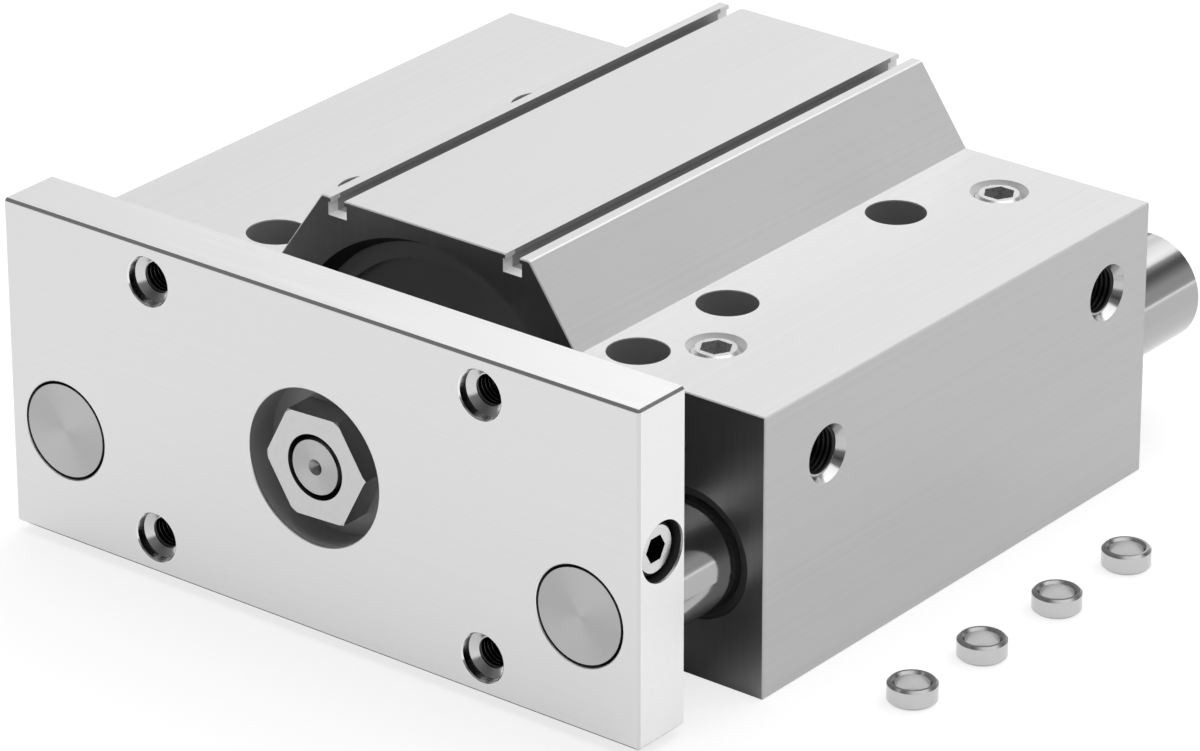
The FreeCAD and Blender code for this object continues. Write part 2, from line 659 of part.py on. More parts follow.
def port_plug(depth):
    """Headless plug with a hex socket, just below the block's top."""
    radius = port_radius - THREAD_CLEARANCE
    start = at(plug_x, depth, block_height - PLUG_RECESS)
    outline = [(0, 0), (radius - PLUG_CHAMFER, 0), (radius, PLUG_CHAMFER), (radius, PLUG_LENGTH),
               (0, PLUG_LENGTH)]
    socket = hexagon(PLUG_SOCKET_ACROSS, PLUG_SOCKET_DEPTH, start, DOWN)
    return turned(outline, start, DOWN).cut(socket)


def centring_sleeves():
    """The loose sleeves, standing on the floor beside the housing."""
    outer = SLEEVE_DIAMETER / 2
    inner = SLEEVE_BORE / 2
    seats = [at(side_x + SLEEVE_FROM_HOUSING, depth, 0) for depth in SLEEVE_ROW]
    return Part.makeCompound([chamfered_ring(outer, inner, SLEEVE_HEIGHT, SLEEVE_CHAMFER, seat, UP)
                              for seat in seats])


def all_pieces():
    """Every piece by its name."""
    pieces = {
        "housing": housing(),
        "bearing_cap": bearing_cap(),
        "bearing_cap_o_ring": cap_o_ring(bearing_front + BEARING_FLANGE_LENGTH / 2),
        "bearing_retaining_ring": retaining_ring(bearing_front - RING_THICKNESS),
        "rod_bush": rod_bush(),
        "rod_seal": rod_seal(),
        "front_cushion": cushion_ring(bearing_rear - cushion_seat),
        "end_cap": end_cap(),
        "end_cap_o_ring": cap_o_ring(end_flange + END_FLANGE_LENGTH / 2),
        "end_retaining_ring": retaining_ring(end_rear),
        "rear_cushion": cushion_ring(end_front - CUSHION_PROUD),
        "port_plug_front": port_plug(front_port),
        "port_plug_rear": port_plug(rear_port),
        "centring_sleeves": centring_sleeves(),
        "yoke_plate": yoke_plate(),
        "yoke_nut": hex_nut(on_bore(nut_front), REAR, NUT_TURN),
        "piston_rod": piston_rod(),
        "piston_front_half": piston_front_half(),
        "piston_rear_half": piston_rear_half(),
        "piston_nut": hex_nut(on_bore(piston_nut_front + NUT_THICKNESS), FRONT, 0),
        "piston_seal_front": piston_seal(front_seal_depth),
        "piston_seal_rear": piston_seal(rear_seal_depth),
        "piston_o_ring": spigot_o_ring(),
        "wear_band": wear_band(),
        "magnet_ring": magnet_ring(),
    }
    for side in SIDES:
        pieces["guide_rod_" + side] = guide_rod(side)
        pieces["guide_wiper_" + side] = guide_wiper(side)
        pieces["guide_bush_front_" + side] = guide_bush(side, wiper_rear)
        pieces["guide_bush_rear_" + side] = guide_bush(side, rear_bush_front)
        pieces["clamp_screw_" + side] = clamp_screw(side)
        pieces["clamp_sleeve_" + side] = clamp_piece(side, clamp_seat_x, guide_x + CLAMP_SLEEVE_GAP / 2)
        pieces["clamp_nut_" + side] = clamp_piece(side, clamp_nut_x, clamp_end_x)
    return pieces


os.makedirs("parts", exist_ok=True)
for name, shape in all_pieces().items():
    shape.exportStep("parts/" + name + ".step")
    print(f"{name}: {len(shape.Solids)} solids, {shape.Volume:.1f} mm3, valid {shape.isValid()}")
print(f"housing {2 * side_x:.2f} x {housing_length:.2f} x {barrel_height:.2f}, block {block_height:.2f}")
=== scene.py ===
"""Looks of the guided pneumatic cylinder: finishes, thread ridges, floor, light and camera."""
import json
import math

import bpy
from mathutils import Matrix, Vector


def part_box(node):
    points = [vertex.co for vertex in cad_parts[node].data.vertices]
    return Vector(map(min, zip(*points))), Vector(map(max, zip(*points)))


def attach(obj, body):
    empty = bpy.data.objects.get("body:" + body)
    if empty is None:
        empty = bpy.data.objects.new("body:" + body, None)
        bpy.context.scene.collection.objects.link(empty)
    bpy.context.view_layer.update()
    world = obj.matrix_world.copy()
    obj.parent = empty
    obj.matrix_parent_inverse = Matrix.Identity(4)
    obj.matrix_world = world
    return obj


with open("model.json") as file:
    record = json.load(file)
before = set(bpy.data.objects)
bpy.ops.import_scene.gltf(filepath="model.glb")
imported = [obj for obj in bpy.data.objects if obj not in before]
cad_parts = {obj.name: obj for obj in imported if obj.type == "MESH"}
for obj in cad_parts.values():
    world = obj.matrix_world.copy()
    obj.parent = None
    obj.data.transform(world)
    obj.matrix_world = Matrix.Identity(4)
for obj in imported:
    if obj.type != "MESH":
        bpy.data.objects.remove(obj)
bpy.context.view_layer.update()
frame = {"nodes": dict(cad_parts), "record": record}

MM = 0.001

# Camera of the photograph, fitted to the part's edges
VIEW_TARGET = Vector((26.532, -44.797, 49.331)) * MM
VIEW_AZIMUTH = 38.386
VIEW_ELEVATION = 25.119
VIEW_ROLL = -0.121
VIEW_DISTANCE = 1537.0 * MM
LENS = 196.18
SENSOR_WIDTH = 36.0

# Threads that the part's plain holes stand for, and how their ridges are drawn
PLATE_THREAD_PITCH = 1.25 * MM
PORT_THREAD_PITCH = 1.337 * MM
THREAD_STEPS_PER_TURN = 40
RIDGE_CORNERS = 4
CREST_SHARE = 0.5

# How near a face has to be to count as lying on it, how far broken edges reach in, and more than any size
SKIN = 0.03 * MM
HOUSING_EDGE_BREAK = 0.35 * MM
PLATE_EDGE_BREAK = 0.65 * MM
SLEEVE_EDGE_BREAK = 0.62 * MM
FAR = 10.0

# Depth of a raised grain at full strength, and the room on either side of a whole count
GRAIN_DEPTH = 0.05 * MM
HALF_STEP = 0.5

# Reach of the holes' finishes from their axes, and their depths; several mark painted shade: the black
# bore, the dark ports, clamp holes, sockets and rod tip
BORE_REACH = 42.4 * MM
PORT_REACH = 7.3 * MM
PORT_MOUTH_DEPTH = 2.25 * MM
SEAT_REACH = 6.4 * MM
CLAMP_REACH = 7.6 * MM
CLAMP_DEPTH = 12.0 * MM
CENTRE_MARK_REACH = 2.05 * MM
ROD_TIP_LENGTH = 3.0 * MM
PLUG_SOCKET_REACH = 4.2 * MM
SCREW_SOCKET_REACH = 3.7 * MM
PLUG_RECESS = 0.4 * MM

# Sensor slots in the barrel's top
SLOT_OFFSET = 26.3 * MM
SLOT_HALF_WIDTH = 2.85 * MM
SLOT_FLOOR = 4.65 * MM
# Painted light: the slots are painted bright for this length at both ends
SLOT_PAINTED_LIGHT_END = 3.5 * MM

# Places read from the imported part. The plate is centred on the bore.
mounts = {mount["name"]: mount for mount in frame["record"]["mounts"]}
housing_low, housing_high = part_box("housing")
plate_low, plate_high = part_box("yoke_plate")
plug_low, plug_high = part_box("port_plug_front")
screw_low, screw_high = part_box("clamp_screw_right")
sleeves_low, sleeves_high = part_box("centring_sleeves")
bore_middle = (plate_low + plate_high) / 2
block_high = Vector((housing_high.x, housing_high.y, plug_high.z + PLUG_RECESS))
front_port, rear_port = (Vector(mounts[name]["pos_m"]) for name in ("port_front", "port_rear"))
port_middle = (front_port + rear_port) / 2
port_spread = (rear_port - front_port) / 2
plug_middle = Vector(((plug_low.x + plug_high.x) / 2, port_middle.y, block_high.z))
seat_middle = Vector(mounts["yoke_bolts"]["pos_m"])
seat_sizes = mounts["yoke_bolts"]["dims"]
seat_spread = Vector((seat_sizes["spacing_x_mm"], 0, seat_sizes["spacing_y_mm"])) * MM / 2
clamp_middle = (screw_low + screw_high) / 2


def linear(hex_colour):
    """Linear RGBA of an sRGB hex colour."""
    values = [int(hex_colour[start:start + 2], 16) / 255 for start in (1, 3, 5)]
    return [v / 12.92 if v <= 0.04045 else ((v + 0.055) / 1.055) ** 2.4 for v in values] + [1.0]


def add(tree, kind, inputs=None, output=0, **settings):
    """Add a node and give back one of its outputs. An input that is an output of another node is linked."""
    node = tree.nodes.new(kind)
    for name, value in settings.items():
        setattr(node, name, value)
    for key, value in (inputs or {}).items():
        if isinstance(value, bpy.types.NodeSocket):
            tree.links.new(value, node.inputs[key])
        else:
            node.inputs[key].default_value = value
    return node.outputs[output] if node.outputs else None


# The colour sockets of a Mix node, which share their names with its other sockets
MIX_INPUTS = (0, 6, 7)
MIX_RESULT = 2


def coloured(tree, colour, *layers):
    """A colour with others laid over it in turn, each where its mask is 1."""
    for mask, shade in layers:
        sides = [linear(side) if isinstance(side, str) else side for side in (colour, shade)]
        inputs = dict(zip(MIX_INPUTS, (mask, *sides)))
        colour = add(tree, "ShaderNodeMix", inputs, MIX_RESULT, data_type="RGBA")
    return colour


def valued(tree, value, *layers):
    """A number with others laid over it in turn, each where its mask is 1."""
    for mask, level in layers:
        value = add(tree, "ShaderNodeMapRange", {"Value": mask, "To Min": value, "To Max": level})
    return value


def between(tree, value, low, high):
    """Mask of where a value lies between two limits."""
    inputs = {0: value, 1: (low + high) / 2, 2: (high - low) / 2}
    return add(tree, "ShaderNodeMath", inputs, operation="COMPARE")


def all_of(tree, mask, *others):
    """Mask of where every one of several masks is 1."""
    for other in others:
        mask = add(tree, "ShaderNodeMath", {0: mask, 1: other}, operation="MULTIPLY")
    return mask


def offset_from(tree, place, middle):
    """How far a place lies from a middle along each axis, to either side."""
    offset = add(tree, "ShaderNodeVectorMath", {0: place, 1: middle}, operation="SUBTRACT")
    return add(tree, "ShaderNodeVectorMath", {0: offset}, operation="ABSOLUTE")


def away_from(tree, place, low, high):
    """Distances along X, Y and Z from the middle of a box."""
    offset = offset_from(tree, place, (low + high) / 2)
    return add(tree, "ShaderNodeSeparateXYZ", {"Vector": offset}).node.outputs


def near_axis(tree, place, middle, axis, reach, spread=(0, 0, 0)):
    """Mask of what is within reach of the lines along an axis that lie spread to both sides of a middle."""
    inputs = {0: offset_from(tree, place, middle), 1: spread}
    offset = add(tree, "ShaderNodeVectorMath", inputs, operation="SUBTRACT")
    across = [0.0 if name == axis else 1.0 for name in "XYZ"]
    flat = add(tree, "ShaderNodeVectorMath", {0: offset, 1: across}, operation="MULTIPLY")
    distance = add(tree, "ShaderNodeVectorMath", {0: flat}, "Value", operation="LENGTH")
    return between(tree, distance, 0, reach)


def holes_and_edges(tree, place, low, high, edge_break):
    """Masks of a box's holes, which are clear of its faces along all three axes, and of its edges, which
    are clear of them along one axis at most."""
    away = away_from(tree, place, low, high)
    reach = (high - low) / 2 - Vector((edge_break, edge_break, edge_break))
    clear = add(tree, "ShaderNodeCombineXYZ", {i: between(tree, away[i], -FAR, reach[i]) for i in range(3)})
    axes = add(tree, "ShaderNodeVectorMath", {0: clear, 1: (1, 1, 1)}, "Value", operation="DOT_PRODUCT")
    holes = between(tree, axes, 3 - HALF_STEP, 3 + HALF_STEP)
    edges = between(tree, axes, 0 - HALF_STEP, 1 + HALF_STEP)
    return holes, edges


def grain(tree, place, *sizes_mm):
    """Noise whose cells are this many millimetres along each axis."""
    scale = [1 / (size * MM) for size in sizes_mm]
    scaled = add(tree, "ShaderNodeMapping", {"Vector": place, "Scale": scale})
    return add(tree, "ShaderNodeTexNoise", {"Vector": scaled, "Scale": 1.0, "Detail": 3.0})


def clear_anodised_extrusion(tree, place):
    """Drawn aluminium under a clear satin oxide: an even pale sheen with fine lines along the barrel.
    The milled ends are bare metal and mirror softly what stands before them, and are painted darker than
    bare aluminium, a painted shade. Painted shade also darkens the holes, the ports and the slots and
    paints the bore black, painted light brightens the slots' ends and the plug holes' mouths, and the
    ports' mouths are cut bright."""
    # Real die lines and etched grain are under a tenth of a millimetre, and drawn coarser so that they show
    die_lines = grain(tree, place, 0.8, 250, 0.8)
    etching = grain(tree, place, 0.5, 0.5, 0.5)
    tool_marks = grain(tree, place, 0.7, 0.7, 14)
    at = add(tree, "ShaderNodeSeparateXYZ", {"Vector": place}).node.outputs
    away = away_from(tree, place, housing_low, housing_high)
    holes, _ = holes_and_edges(tree, place, housing_low, block_high, HOUSING_EDGE_BREAK)
    ports = near_axis(tree, place, port_middle, "X", PORT_REACH, port_spread)
    mouth_depths = between(tree, at["X"], block_high.x - PORT_MOUTH_DEPTH, block_high.x - SKIN)
    mouths = all_of(tree, ports, mouth_depths)
    plug_holes = near_axis(tree, place, plug_middle, "Z", PORT_REACH, port_spread)
    slots = all_of(
        tree,
        between(tree, away["X"], SLOT_OFFSET - SLOT_HALF_WIDTH, SLOT_OFFSET + SLOT_HALF_WIDTH),
        between(tree, at["Z"], housing_high.z - SLOT_FLOOR, housing_high.z - SKIN),
    )
    end = (housing_high.y - housing_low.y) / 2
    painted_light_slot_ends = all_of(tree, slots, between(tree, away["Y"], end - SLOT_PAINTED_LIGHT_END, FAR))
    milled = between(tree, away["Y"], end - SKIN, FAR)
    relief = {"Height": etching, "Strength": 0.06, "Distance": GRAIN_DEPTH}
    return {
        "Base Color": coloured(
            tree, "#d3d3d3",
            (die_lines, "#dddddd"),
            # Painted shade: the holes' walls are the body's metal, painted darker
            (holes, "#989898"),
            # Painted shade: the ports' walls are painted near black
            (all_of(tree, holes, ports), "#303030"),
            # Painted light: the plug holes' mouths are painted a touch paler than the body, to soften their
            # shade
            (all_of(tree, holes, plug_holes), "#e0e0e0"),
            # Painted shade: the slots' walls and floors are painted darker
            (slots, "#a8a8a8"),
            # Painted light: the slots' ends are painted bright
            (painted_light_slot_ends, "#f0f0f0"),
            # Painted shade: the bore's wall is painted black
            (near_axis(tree, place, bore_middle, "Y", BORE_REACH), "#0c0c0c"),
            (mouths, "#bcbcbc"),
            # Painted shade: the milled ends are painted darker than bare aluminium; their soft mirroring is
            # real
            (milled, coloured(tree, "#848484", (tool_marks, "#909090"))),
        ),
        "Metallic": valued(tree, 0.35, (mouths, 1.0), (milled, 1.0)),
        "Roughness": valued(tree, 0.40, (etching, 0.52), (mouths, 0.2), (milled, 0.36)),
        "Normal": add(tree, "ShaderNodeBump", relief),
    }


def ground_plated_steel(tree, place):
    """Bright plated steel with faint grinding lines. Its front and back are painted a shade darker than its
    milled narrow sides, a painted shade. Its edges are polished and painted darker, a painted dark
    reflection, and in its holes the sleeve seats are bright and the other walls matt; the walls, more so
    the threads and the clamp screws' holes, are painted darker as painted shade."""
    # Real grinding lines are a few hundredths of a millimetre wide, and drawn coarser so that they show
    grinding = grain(tree, place, 60, 0.6, 0.6)
    at = add(tree, "ShaderNodeSeparateXYZ", {"Vector": place}).node.outputs
    away = away_from(tree, place, plate_low, plate_high)
    half = (plate_high - plate_low) / 2
    holes, edges = holes_and_edges(tree, place, plate_low, plate_high, PLATE_EDGE_BREAK)
    painted_shade_front_and_back = between(tree, away["Y"], half.y - SKIN, FAR)
    seats = near_axis(tree, place, seat_middle, "Y", SEAT_REACH, seat_spread)
    threads = all_of(tree, seats, between(tree, at["Y"], seat_middle.y + SKIN, FAR))
    clamp_line = near_axis(tree, place, clamp_middle, "X", CLAMP_REACH)
    clamp_holes = all_of(tree, holes, clamp_line, between(tree, away["X"], half.x - CLAMP_DEPTH, FAR))
    relief = {"Height": grinding, "Strength": 0.05, "Distance": GRAIN_DEPTH}
    return {
        "Base Color": coloured(
            tree, "#e9e9e9",
            (grinding, "#f1f1f1"),
            # Painted shade: front and back painted darker than the narrow sides
            (painted_shade_front_and_back, coloured(tree, "#dcdcdc", (grinding, "#e4e4e4"))),
            # Painted shade: the holes' walls are painted darker
            (holes, "#a8a8a8"),
            # Polished edges, painted darker as a painted dark reflection
            (edges, "#d0d0d0"),
            (all_of(tree, holes, seats), "#cccccc"),
            # Painted shade: the threads and the clamp screws' holes are painted near black
            (threads, "#404040"),
            (clamp_holes, "#2a2a2a"),
        ),
        "Metallic": valued(tree, 1.0, (holes, 0.1), (seats, 1.0)),
        "Roughness": valued(tree, 0.34, (grinding, 0.44), (edges, 0.17), (seats, 0.17)),
        "Normal": add(tree, "ShaderNodeBump", relief),
    }


def ground_rod(tree, place, low, high):
    """Ground and hard chromed steel: a near mirror with hair lines round it. The ends are turned,
    so that they shine in sectors, the centre mark is dull and the fitted tip is painted dark, a painted
    shade."""
    # Real hair lines and ripples are a few hundredths of a millimetre, and drawn coarser so that they show
    hair_lines = grain(tree, place, 30, 0.3, 30)
    ripples = grain(tree, place, 0.5, 0.5, 0.5)
    along = add(tree, "ShaderNodeSeparateXYZ", {"Vector": place}).node.outputs["Y"]
    ends = between(tree, away_from(tree, place, low, high)["Y"], (high.y - low.y) / 2 - SKIN, FAR)
    between_ends = between(tree, along, low.y + SKIN, high.y - SKIN)
    middle_line = near_axis(tree, place, (low + high) / 2, "Y", CENTRE_MARK_REACH)
    centre_marks = all_of(tree, middle_line, between_ends)
    tip = between(tree, along, low.y - SKIN, low.y + ROD_TIP_LENGTH)
    relief = {"Height": ripples, "Strength": 0.02, "Distance": GRAIN_DEPTH}
    return {
        "Base Color": coloured(
            tree, "#aaaaaa",
            # Painted shade: the tip fitted in the nut is painted dark
            (tip, "#303030"),
            (ends, "#bcbcbc"),
            (centre_marks, "#a0a0a0"),
        ),
        "Metallic": 1.0,
        "Roughness": valued(tree, 0.08, (hair_lines, 0.16), (ends, 0.42), (centre_marks, 0.42)),
        "Anisotropic": 0.7,
        "Tangent": add(tree, "ShaderNodeTangent", direction_type="RADIAL", axis="Y"),
        "Normal": add(tree, "ShaderNodeBump", relief),
    }


def zinc_plated_screw(tree, place, low, high, axis, reach, shade):
    """Zinc plated steel with a cloudy bright head and a socket painted darker, a painted shade."""
    clouds = grain(tree, place, 1.2, 1.2, 1.2)
    half = (high - low)["XYZ".index(axis)] / 2
    inner = between(tree, away_from(tree, place, low, high)[axis], -FAR, half - SKIN)
    socket = all_of(tree, inner, near_axis(tree, place, (low + high) / 2, axis, reach))
    return {
        # Painted shade: the socket is painted darker
        "Base Color": coloured(tree, "#cfcfcf", (clouds, "#dcdcdc"), (socket, shade)),
        "Metallic": valued(tree, 1.0, (socket, 0.4)),
        "Roughness": valued(tree, 0.22, (clouds, 0.34)),
    }


def turned_stainless_steel(tree, place):
    """Turned stainless steel, with bright walls between rims painted darker, a painted shade."""
    clouds = grain(tree, place, 2, 2, 2)
    half = (sleeves_high.z - sleeves_low.z) / 2
    height = away_from(tree, place, sleeves_low, sleeves_high)["Z"]
    rims = between(tree, height, half - SLEEVE_EDGE_BREAK, FAR)
    return {
        # Painted shade: the rims are painted darker
        "Base Color": coloured(tree, "#bebebe", (clouds, "#c6c6c6"), (rims, "#a0a0a0")),
        "Metallic": 1.0,
        "Roughness": valued(tree, 0.16, (clouds, 0.28)),
    }


def mottled_metal(dark, pale, smooth, rough, spot_mm, metallic=1.0):
    """Surface function of a plated or treated metal with small uneven spots."""
    def surface(tree, place):
        spots = grain(tree, place, spot_mm, spot_mm, spot_mm)
        return {
            "Base Color": coloured(tree, dark, (spots, pale)),
            "Metallic": metallic,
            "Roughness": valued(tree, smooth, (spots, rough)),
        }
    return surface


def moulded(dark, pale, rough, grain_mm):
    """Surface function of a moulded rubber or plastic with a fine raised grain."""
    def surface(tree, place):
        skin = grain(tree, place, grain_mm, grain_mm, grain_mm)
        relief = {"Height": skin, "Strength": 0.2, "Distance": GRAIN_DEPTH}
        return {
            "Base Color": coloured(tree, dark, (skin, pale)),
            "Roughness": rough,
            "Normal": add(tree, "ShaderNodeBump", relief),
        }
    return surface


def made_material(name, surface, *places):
    """A material whose surface function turns object coordinates into the shader's inputs."""
    material = bpy.data.materials.new(name)
    material.use_nodes = True
    tree = material.node_tree
    tree.nodes.clear()
    place = add(tree, "ShaderNodeTexCoord", output="Object")
    shader = add(tree, "ShaderNodeBsdfPrincipled", surface(tree, place, *places))
    add(tree, "ShaderNodeOutputMaterial", {"Surface": shader})
    return material


# Surface of each finish, and what it gives the eye
SURFACES = {
    # A pale satin body with milled metal ends, painted darker as painted shade
    "anodised_housing": ("clear_anodised_extrusion", clear_anodised_extrusion),
    # A dim satin disc deep in the bore
    "turned_aluminium": (
        "dark_anodised_aluminium",
        mottled_metal("#747474", "#808080", smooth=0.39, rough=0.51, spot_mm=0.6, metallic=0.35),
    ),
    # A warm grey piston, hidden in the bore
    "piston_aluminium": (
        "turned_aluminium",
        mottled_metal("#b6b6b4", "#c8c8c6", smooth=0.29, rough=0.41, spot_mm=0.8),
    ),
    # A bright plate with straight grinding lines
    "ground_plate": ("ground_plated_steel", ground_plated_steel),
    # A cloudy bright nut
    "plated_fastener": (
        "zinc_plated_steel",
        mottled_metal("#c2c2c2", "#cecece", smooth=0.24, rough=0.36, spot_mm=1.2),
    ),
    # A dull dark ring
    "spring_steel": (
        "phosphated_spring_steel",
        mottled_metal("#787878", "#848484", smooth=0.44, rough=0.56, spot_mm=0.5, metallic=0.35),
    ),
    # Brown porous bushes, hidden behind the wipers
    "bearing_bronze": (
        "sintered_bronze",
        mottled_metal("#8f6a3c", "#b58a52", smooth=0.44, rough=0.56, spot_mm=0.5),
    ),
    # Soft black seals
    "seal_rubber": ("moulded_rubber", moulded("#28282a", "#303031", rough=0.6, grain_mm=0.4)),
    # A dull black ring in the piston
    "magnet_compound": ("magnet_compound", moulded("#262628", "#333335", rough=0.7, grain_mm=0.3)),
    # A cream band round the piston
    "wear_plastic": ("wear_band_plastic", moulded("#c8c2ac", "#d8d2bc", rough=0.5, grain_mm=0.4)),
    # Bright loose sleeves with rims painted dim, a painted shade
    "sleeve_steel": ("turned_stainless_steel", turned_stainless_steel),
}
FINISHES = {slot: made_material(*surface) for slot, surface in SURFACES.items()}
# Axis, reach and tone of the sockets in the plugs and clamp screws, a painted shade, near black in the
# clamp screws
SOCKETS = {
    "port_plug": ("Z", PLUG_SOCKET_REACH, "#b0b0b0"),
    "clamp_screw": ("X", SCREW_SOCKET_REACH, "#141414"),
}


def finish_of(name, slot):
    """A node's finish: its own where the pattern is placed by the node's box, else that of its slot."""
    if slot == "chrome_rod":
        return made_material("hard_chrome_" + name, ground_rod, *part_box(name))
    for prefix, socket in SOCKETS.items():
        if name.startswith(prefix):
            return made_material("zinc_plated_" + name, zinc_plated_screw, *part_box(name), *socket)
    return FINISHES[slot]


def dress_nodes():
    """Give every node of the part its finish."""
    for subpart in frame["record"]["subparts"]:
        name = subpart["node"]
        frame["nodes"][name].material_slots[0].material = finish_of(name, subpart["material_slot"])


def thread_tree():
    """A ridge wound round Z at a hole's wall, copied to each hole and turned to its axis."""
    tree = bpy.data.node_groups.new("thread_ridge", "GeometryNodeTree")
    sockets = {
        "Holes": "NodeSocketGeometry",
        "Radius": "NodeSocketFloat",
        "Pitch": "NodeSocketFloat",
        "Length": "NodeSocketFloat",
        "Turn": "NodeSocketVector",
        "Finish": "NodeSocketMaterial",
    }
    for name, kind in sockets.items():
        tree.interface.new_socket(name, in_out="INPUT", socket_type=kind)
    tree.interface.new_socket("Ridges", in_out="OUTPUT", socket_type="NodeSocketGeometry")
    given = add(tree, "NodeGroupInput").node.outputs
    turns = add(tree, "ShaderNodeMath", {0: given["Length"], 1: given["Pitch"]}, operation="DIVIDE")
    helix = add(tree, "GeometryNodeCurveSpiral", {
        "Resolution": THREAD_STEPS_PER_TURN,
        "Rotations": turns,
        "Start Radius": given["Radius"],
        "End Radius": given["Radius"],
        "Height": given["Length"],
    })
    upright = add(tree, "GeometryNodeSetCurveNormal", {"Curve": helix}, mode="Z_UP")
    crest = add(tree, "ShaderNodeMath", {0: given["Pitch"], 1: CREST_SHARE}, operation="MULTIPLY")
    shape = {"Resolution": RIDGE_CORNERS, "Radius": crest}
    section = add(tree, "GeometryNodeCurvePrimitiveCircle", shape)
    ridge = add(tree, "GeometryNodeCurveToMesh", {
        "Curve": upright,
        "Profile Curve": section,
        "Fill Caps": True,
    })
    copies = add(tree, "GeometryNodeInstanceOnPoints", {
        "Points": given["Holes"],
        "Instance": ridge,
        "Rotation": given["Turn"],
    })
    whole = add(tree, "GeometryNodeRealizeInstances", {"Geometry": copies})
    finished = add(tree, "GeometryNodeSetMaterial", {"Geometry": whole, "Material": given["Finish"]})
    add(tree, "NodeGroupOutput", {"Ridges": finished})
    return tree


def grown_piece(name, tree, points, **sizes):
    """A plain mesh piece grown by a node tree on a set of points."""
    seed = bpy.data.meshes.new(name + "_points")
    seed.from_pydata(points, [], [])
    source = bpy.data.objects.new(name + "_source", seed)
    bpy.context.scene.collection.objects.link(source)
    modifier = source.modifiers.new("grow", "NODES")
    modifier.node_group = tree
    for item in tree.interface.items_tree:
        if item.in_out == "INPUT" and item.name in sizes:
            modifier[item.identifier] = sizes[item.name]
    evaluated = source.evaluated_get(bpy.context.evaluated_depsgraph_get())
    mesh = bpy.data.meshes.new_from_object(evaluated)
    bpy.data.objects.remove(source)
    piece = bpy.data.objects.new(name, mesh)
    bpy.context.scene.collection.objects.link(piece)
    return piece


def turn_to(axis):
    """Angles that turn Z to an axis."""
    return tuple(Vector((0, 0, 1)).rotation_difference(Vector(axis)).to_euler())


def plate_threads(tree):
    """Thread in the four tapped holes of the yoke plate, from the sleeve seat to the back."""
    holes = [seat_middle + seat_spread * Vector((x, 0, z)) for x in (-1, 1) for z in (-1, 1)]
    piece = grown_piece(
        "plate_hole_threads", tree, holes,
        Radius=seat_sizes["hole_r_mm"] * MM,
        Pitch=PLATE_THREAD_PITCH,
        Length=plate_high.y - seat_middle.y,
        Turn=turn_to((0, 1, 0)),
        Finish=FINISHES["ground_plate"],
    )
    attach(piece, "carriage")


def port_threads(tree):
    """Pipe thread in the two open air ports on the side."""
    sizes = mounts["port_front"]["dims"]
    length = sizes["length_mm"] * MM
    starts = [port - Vector((length / 2, 0, 0)) for port in (front_port, rear_port)]
    piece = grown_piece(
        "port_threads", tree, starts,
        Radius=sizes["r_mm"] * MM,
        Pitch=PORT_THREAD_PITCH,
        Length=length,
        Turn=turn_to((1, 0, 0)),
        Finish=FINISHES["anodised_housing"],
    )
    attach(piece, "housing")


# The floor's size, its drop below the part, its tones for the light and for the eye, and its glow
FLOOR_SIZE = 40.0
FLOOR_DROP = 0.02 * MM
PAPER = "#bebebe"
SEEN_PAPER = "#989898"
PAPER_GLOW = 0.76
# How far around it a spot of floor looks for what shuts it in, and how open spots with painted shade and
# lit spots are
SHADE_REACH = 60.0 * MM
SHUT_IN_SHARE = 0.3
OPEN_SHARE = 0.55


def studio_paper():
    """Pale matt paper. To the eye and in mirrors it glows up to white, and keeps a faint shadow.
    Between the plate and the housing, which shut it in, its glow is left out for mirrors, a painted shade
    that mirrors see as dark."""
    material = bpy.data.materials.new("studio_paper")
    material.use_nodes = True
    tree = material.node_tree
    tree.nodes.clear()
    rays = add(tree, "ShaderNodeLightPath").node.outputs
    kinds = {0: rays["Is Glossy Ray"], 1: rays["Is Transmission Ray"]}
    mirrored = add(tree, "ShaderNodeMath", kinds, operation="MAXIMUM")
    seen = add(tree, "ShaderNodeMath", {0: rays["Is Camera Ray"], 1: mirrored}, operation="MAXIMUM")
    place = add(tree, "ShaderNodeTexCoord", output="Object")
    across = add(tree, "ShaderNodeSeparateXYZ", {"Vector": place}, "X")
    open_share = add(tree, "ShaderNodeAmbientOcclusion", {"Distance": SHADE_REACH}, "AO", samples=8)
    limits = {"Value": open_share, "From Min": OPEN_SHARE, "From Max": SHUT_IN_SHARE}
    shut_in = add(tree, "ShaderNodeMapRange", limits)
    # Painted shade: where shut in, mirrors see the floor without its glow
    shaded = all_of(tree, shut_in, mirrored, between(tree, across, housing_low.x, housing_high.x))
    tone = coloured(tree, PAPER, (seen, SEEN_PAPER), (shaded, PAPER))
    matt = add(tree, "ShaderNodeBsdfDiffuse", {"Color": tone})
    strength = valued(tree, 0.0, (seen, PAPER_GLOW), (shaded, 0.0))
    glow = add(tree, "ShaderNodeEmission", {"Strength": strength})
    both = add(tree, "ShaderNodeAddShader", {0: matt, 1: glow})
    add(tree, "ShaderNodeOutputMaterial", {"Surface": both})
    return material


def floor():
    """Pale studio floor that fills the picture behind the part."""
    half = FLOOR_SIZE / 2
    mesh = bpy.data.meshes.new("floor")
    corners = [(x * half, y * half, -FLOOR_DROP) for x, y in ((-1, -1), (1, -1), (1, 1), (-1, 1))]
    mesh.from_pydata(corners, [], [(0, 1, 2, 3)])
    mesh.materials.append(studio_paper())
    piece = bpy.data.objects.new("floor", mesh)
    bpy.context.scene.collection.objects.link(piece)


def direction_from(azimuth, elevation):
    """Unit vector towards an azimuth (0 is the plate's side, 90 the port side) and elevation in degrees."""
    turn, rise = math.radians(azimuth), math.radians(elevation)
    return Vector((math.sin(turn) * math.cos(rise), -math.cos(turn) * math.cos(rise), math.sin(rise)))


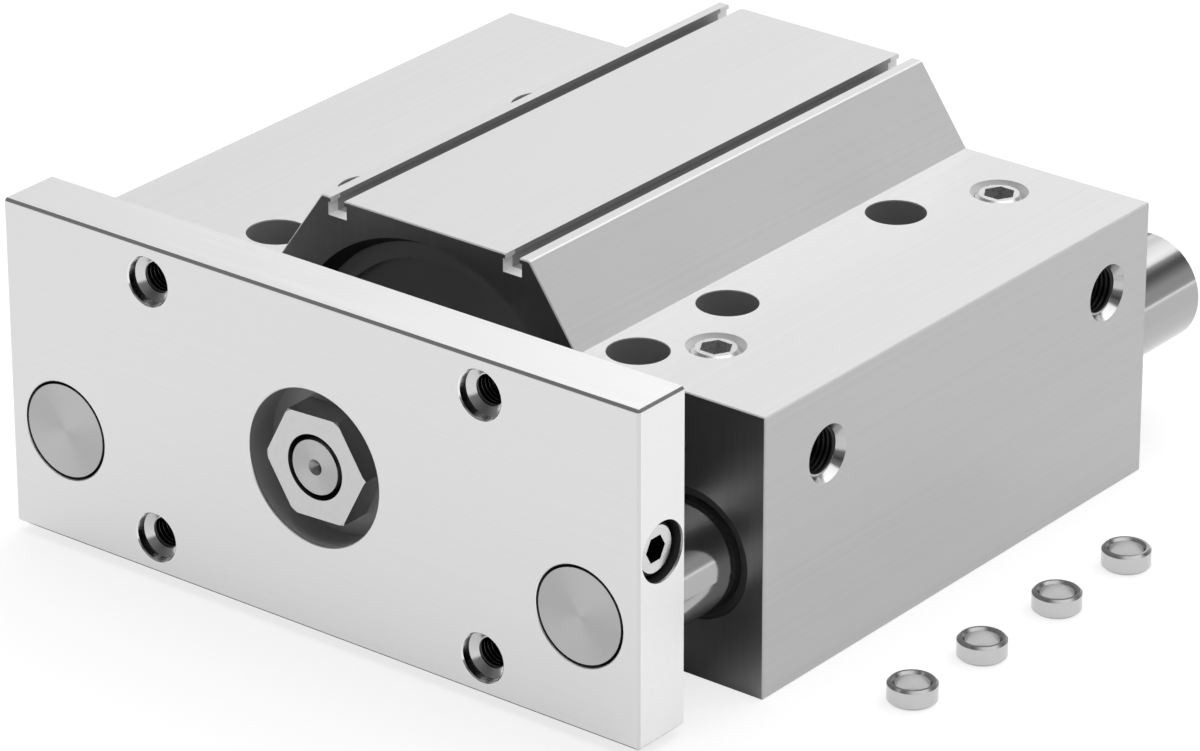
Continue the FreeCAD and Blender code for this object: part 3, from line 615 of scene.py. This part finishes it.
def soft_light(name, azimuth, elevation, spread, level):
    """A wide soft lamp, far enough away to light the floor evenly. Level is its brightness in a mirror."""
    lamp = bpy.data.lights.new(name, "SUN")
    lamp.angle = math.radians(spread)
    lamp.energy = level * 2 * math.pi * (1 - math.cos(lamp.angle / 2))
    piece = bpy.data.objects.new(name, lamp)
    bpy.context.scene.collection.objects.link(piece)
    piece.rotation_euler = direction_from(azimuth, elevation).to_track_quat("Z", "Y").to_euler()


# Brightness of the studio by height above the horizon, as the sine of the elevation
SKY_BANDS = (
    (0.0, 2.2), (0.03, 2.2),
    (0.05, 0.6), (0.3, 0.6),
    (0.5, 0.16), (0.56, 0.16),
    (0.62, 0.6),
)
# Where the studio is brightest, the cosines of the turn from there between which it dims, and its share
# of that brightness in front
SKY_AZIMUTH = 195
SKY_BRIGHT_FACING = 0.6
SKY_DIM_FACING = -0.3
SKY_FRONT_SHARE = 0.35


def studio_world():
    """A dim studio, brighter behind than in front, with a light strip at the horizon and a dark band above,
    so that metal has something to reflect."""
    world = bpy.data.worlds.new("studio")
    world.use_nodes = True
    tree = world.node_tree
    tree.nodes.clear()
    direction = add(tree, "ShaderNodeTexCoord", output="Generated")
    behind = {0: direction, 1: direction_from(SKY_AZIMUTH, 0)}
    facing = add(tree, "ShaderNodeVectorMath", behind, "Value", operation="DOT_PRODUCT")
    share = add(tree, "ShaderNodeMapRange", {
        "Value": facing,
        "From Min": SKY_DIM_FACING,
        "From Max": SKY_BRIGHT_FACING,
        "To Min": SKY_FRONT_SHARE,
        "To Max": 1.0,
    })
    height = add(tree, "ShaderNodeSeparateXYZ", {"Vector": direction}, "Z")
    bands = add(tree, "ShaderNodeValToRGB", {"Fac": height})
    stops = bands.node.color_ramp.elements
    while len(stops) < len(SKY_BANDS):
        stops.new(1.0)
    for stop, (rise, level) in zip(stops, SKY_BANDS):
        stop.position = rise
        stop.color = (level, level, level, 1.0)
    sky = add(tree, "ShaderNodeBackground", {"Color": bands, "Strength": share})
    add(tree, "ShaderNodeOutputWorld", {"Surface": sky})
    bpy.context.scene.world = world


def camera():
    """Camera at the photograph's place and angle."""
    back = direction_from(VIEW_AZIMUTH, VIEW_ELEVATION)
    right = Vector((0, 0, 1)).cross(back).normalized()
    level = Matrix((right, back.cross(right), back)).transposed()
    lens = bpy.data.cameras.new("camera")
    lens.sensor_fit = "HORIZONTAL"
    lens.sensor_width = SENSOR_WIDTH
    lens.lens = LENS
    piece = bpy.data.objects.new("camera", lens)
    bpy.context.scene.collection.objects.link(piece)
    roll = Matrix.Rotation(math.radians(VIEW_ROLL), 3, "Z")
    piece.matrix_world = Matrix.Translation(VIEW_TARGET + back * VIEW_DISTANCE) @ (level @ roll).to_4x4()
    bpy.context.scene.camera = piece


dress_nodes()
ridges = thread_tree()
plate_threads(ridges)
port_threads(ridges)
floor()
studio_world()
soft_light("overhead_softbox", azimuth=160, elevation=78, spread=76, level=1.4)
soft_light("back_softbox", azimuth=SKY_AZIMUTH, elevation=38, spread=44, level=1.2)
camera()
bpy.context.scene.view_settings.view_transform = "Standard"
